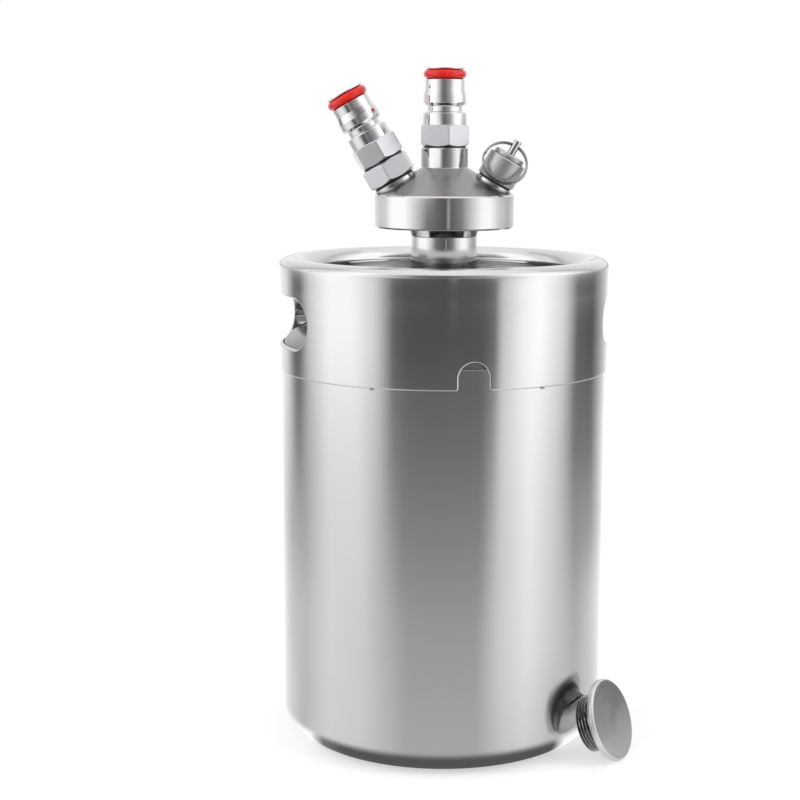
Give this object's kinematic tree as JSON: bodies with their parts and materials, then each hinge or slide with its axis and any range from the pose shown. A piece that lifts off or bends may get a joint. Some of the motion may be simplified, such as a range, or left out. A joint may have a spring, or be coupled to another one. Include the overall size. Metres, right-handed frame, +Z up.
{
  "type": "mini keg",
  "caption": "Stainless mini keg with a screw-in dispensing head: two spring-valve plug-in posts with red rings, a relief valve with a pull ring, a soft dip tube and a loose screw cap.",
  "frame": {"origin": "centre of the base ring, on the surface that the keg stands on", "axes": "+Z up along the keg, -Y to the front, +X to the right, where the relief valve and the screw cap are"},
  "size_m": [0.1908, 0.177, 0.3602],
  "materials": {
    "shell_steel": "satin, fine horizontal brushing",
    "inner_steel": "drawn sheet, matt",
    "collar_steel": "satin, polished rim",
    "weld_metal": "rough weld bead",
    "neck_steel": "turned",
    "black_rubber": "matt",
    "head_steel": "turned, semi-gloss",
    "turned_steel": "turned",
    "clear_silicone": "clear, soft sheen",
    "post_steel": "polished, satin hexagon",
    "red_rubber": "gloss red",
    "valve_steel": "turned",
    "spring_steel": "drawn wire",
    "nut_steel": "satin flats",
    "relief_steel": "satin",
    "wire_steel": "bright wire",
    "cap_steel": "turned face"
  },
  "bodies": {
    "keg": {"lower_shell": "shell_steel", "top_end": "inner_steel", "collar": "collar_steel", "tack_welds": "weld_metal", "neck": "neck_steel", "neck_weld": "weld_metal"},
    "head_lift": {"neck_seal": "black_rubber"},
    "head": {"head": "head_steel", "liquid_stem": "turned_steel", "soft_tube": "clear_silicone", "mid_post": "post_steel", "mid_post_ring": "red_rubber", "mid_post_seal": "black_rubber", "mid_spring": "spring_steel", "side_nut": "nut_steel", "side_nut_seal": "black_rubber", "side_post": "post_steel", "side_post_ring": "red_rubber", "side_post_seal": "black_rubber", "side_spring": "spring_steel", "relief_cup": "relief_steel", "relief_seal": "black_rubber", "relief_bonnet": "relief_steel", "relief_spring": "spring_steel"},
    "mid_valve": {"mid_valve": "valve_steel", "mid_valve_seal": "black_rubber"},
    "side_valve": {"side_valve": "valve_steel", "side_valve_seal": "black_rubber"},
    "relief_stem": {"relief_stem": "turned_steel", "relief_pad": "black_rubber"},
    "pull_ring": {"pull_ring": "wire_steel"},
    "cap": {"cap": "cap_steel", "cap_seal": "black_rubber"}
  },
  "joints": [
    {"name": "head_climb", "type": "slide", "parent": "keg", "child": "head_lift", "axis": [0, 0, 1], "range_m": [0, 0.00851]},
    {"name": "head_turn", "type": "hinge", "parent": "head_lift", "child": "head", "pos_m": [0, 0, 0.249], "axis": [0, 0, 1], "range_deg": [0, 1530]},
    {"name": "mid_valve_press", "type": "slide", "parent": "head", "child": "mid_valve", "axis": [0, 0, -1], "range_m": [0, 0.003], "stiffness_N_per_m": 800, "springref_m": -0.002, "deforming": ["mid_spring"]},
    {"name": "side_valve_press", "type": "slide", "parent": "head", "child": "side_valve", "axis": [0.5, 0, -0.866], "range_m": [0, 0.003], "stiffness_N_per_m": 800, "springref_m": -0.002, "deforming": ["side_spring"]},
    {"name": "relief_pull", "type": "slide", "parent": "head", "child": "relief_stem", "axis": [0.4981, -0.0436, 0.866], "range_m": [0, 0.003], "stiffness_N_per_m": 1500, "springref_m": -0.003, "deforming": ["relief_spring"]},
    {"name": "pull_ring_swing", "type": "hinge", "parent": "relief_stem", "child": "pull_ring", "pos_m": [0.03751, -0.00328, 0.31938], "axis": [-0.8627, 0.0755, 0.5], "range_deg": [0, 298]},
    {"name": "cap_away", "type": "slide", "parent": "keg", "child": "cap", "axis": [0.8526, -0.5225, 0], "range_m": [0, 0.15]}
  ],
  "couplings": [
    {"joint": "head_climb", "follows": "head_turn", "m_per_rad": 0.00031831}
  ]
}
